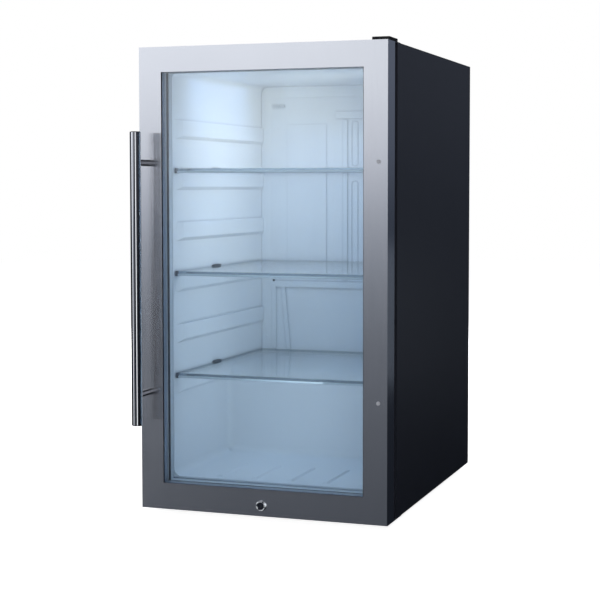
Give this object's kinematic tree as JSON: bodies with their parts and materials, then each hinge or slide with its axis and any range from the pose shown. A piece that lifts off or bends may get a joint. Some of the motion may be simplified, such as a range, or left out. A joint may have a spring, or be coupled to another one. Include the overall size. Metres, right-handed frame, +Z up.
{
  "type": "reach-in refrigerator",
  "caption": "Under-counter glass-door refrigerator with stainless door frame, bar handle, key lock, glass shelves and black cabinet.",
  "frame": {"origin": "on the floor, under the middle of the whole object's box, handle included", "axes": "+Z up, +X to the right as seen from the front, +Y from the door to the back"},
  "size_m": [0.476, 0.673, 0.87],
  "materials": {
    "stainless_skin": "brushed vertically, satin",
    "stainless_handle": "brushed along the bar, satin",
    "black_paint": "smooth black powder coat",
    "dark_plastic": "moulded, fine texture",
    "frame_grey": "smooth extruded frame",
    "white_plastic": "smooth moulded liner",
    "seal_rubber": "soft matt rubber",
    "door_seal": "soft matt seal",
    "spacer_grey": "grey anodised spacer bar",
    "door_glass": "clear, faintly blue",
    "shelf_glass": "clear toughened glass",
    "chrome_trim": "polished",
    "aluminium": "mill finish",
    "plated_steel": "zinc plated",
    "foam": "foamed-in-place insulation",
    "nylon": "natural nylon"
  },
  "bodies": {
    "cabinet": {"left_side_panel": "black_paint", "right_side_panel": "black_paint", "top_panel": "black_paint", "back_panel": "black_paint", "base_plate": "plated_steel", "face_frame": "black_paint", "foam_left": "foam", "foam_right": "foam", "foam_middle": "foam", "liner": "white_plastic", "bay_bulkhead": "plated_steel", "evaporator_cover": "white_plastic", "evaporator_coil": "aluminium", "fan_frame": "dark_plastic", "control_box": "white_plastic", "lamp_lens": "shelf_glass", "shelf_clip_lower_left": "dark_plastic", "shelf_clip_lower_right": "dark_plastic", "shelf_clip_middle_left": "dark_plastic", "shelf_clip_middle_right": "dark_plastic", "shelf_clip_upper_left": "dark_plastic", "shelf_clip_upper_right": "dark_plastic", "top_hinge": "plated_steel", "bottom_hinge": "plated_steel", "hinge_cover": "dark_plastic", "lock_strike": "plated_steel", "compressor": "black_paint", "drain_pan": "dark_plastic", "condenser_coil": "black_paint", "junction_box": "dark_plastic", "cord_gland": "seal_rubber"},
    "door": {"door_skin": "stainless_skin", "door_core": "frame_grey", "outer_glass": "door_glass", "inner_glass": "door_glass", "glass_spacer": "spacer_grey", "door_gasket": "door_seal", "handle_bar": "stainless_handle", "handle_post_upper": "stainless_handle", "handle_post_lower": "stainless_handle", "hole_plug_upper": "chrome_trim", "hole_plug_lower": "chrome_trim", "lock_housing": "chrome_trim", "top_bush": "nylon", "bottom_bush": "nylon"},
    "lock_cylinder": {"lock_plug": "chrome_trim", "lock_cam": "plated_steel"},
    "lower_shelf": {"shelf_glass_lower": "shelf_glass", "shelf_trim_lower": "chrome_trim"},
    "middle_shelf": {"shelf_glass_middle": "shelf_glass", "shelf_trim_middle": "chrome_trim"},
    "upper_shelf": {"shelf_glass_upper": "shelf_glass", "shelf_trim_upper": "chrome_trim"},
    "circulation_fan": {"fan_rotor": "dark_plastic"},
    "thermostat": {"thermostat_knob": "white_plastic"},
    "lamp_switch": {"light_switch": "dark_plastic"},
    "front_left_foot": {"foot_front_left": "dark_plastic"},
    "front_right_foot": {"foot_front_right": "dark_plastic"},
    "rear_left_foot": {"foot_rear_left": "dark_plastic"},
    "rear_right_foot": {"foot_rear_right": "dark_plastic"}
  },
  "joints": [
    {"name": "door_hinge", "type": "hinge", "parent": "cabinet", "child": "door", "pos_m": [0.224, -0.2605, 0.438], "axis": [0, 0, 1], "range_deg": [0, 115]},
    {"name": "lock_turn", "type": "hinge", "parent": "door", "child": "lock_cylinder", "pos_m": [0, -0.2605, 0.031], "axis": [0, -1, 0], "range_deg": [0, 90]},
    {"name": "lower_shelf_slide", "type": "slide", "parent": "cabinet", "child": "lower_shelf", "axis": [0, -1, 0], "range_m": [0, 0.02]},
    {"name": "middle_shelf_slide", "type": "slide", "parent": "cabinet", "child": "middle_shelf", "axis": [0, -1, 0], "range_m": [0, 0.02]},
    {"name": "upper_shelf_slide", "type": "slide", "parent": "cabinet", "child": "upper_shelf", "axis": [0, -1, 0], "range_m": [0, 0.02]},
    {"name": "fan_spin", "type": "hinge", "parent": "cabinet", "child": "circulation_fan", "pos_m": [0.095, 0.2455, 0.712], "axis": [0, 1, 0], "continuous": true},
    {"name": "thermostat_turn", "type": "hinge", "parent": "cabinet", "child": "thermostat", "pos_m": [0.172, -0.1425, 0.775], "axis": [1, 0, 0], "range_deg": [0, 270]},
    {"name": "lamp_switch_rock", "type": "hinge", "parent": "cabinet", "child": "lamp_switch", "pos_m": [0.173, -0.1425, 0.73], "axis": [0, -1, 0], "range_deg": [0, 16]},
    {"name": "front_left_foot_turn", "type": "hinge", "parent": "cabinet", "child": "front_left_foot", "pos_m": [-0.185, -0.1865, 0.006], "axis": [0, 0, 1], "continuous": true},
    {"name": "front_right_foot_turn", "type": "hinge", "parent": "cabinet", "child": "front_right_foot", "pos_m": [0.185, -0.1865, 0.006], "axis": [0, 0, 1], "continuous": true},
    {"name": "rear_left_foot_turn", "type": "hinge", "parent": "cabinet", "child": "rear_left_foot", "pos_m": [-0.185, 0.3035, 0.006], "axis": [0, 0, 1], "continuous": true},
    {"name": "rear_right_foot_turn", "type": "hinge", "parent": "cabinet", "child": "rear_right_foot", "pos_m": [0.185, 0.3035, 0.006], "axis": [0, 0, 1], "continuous": true}
  ]
}
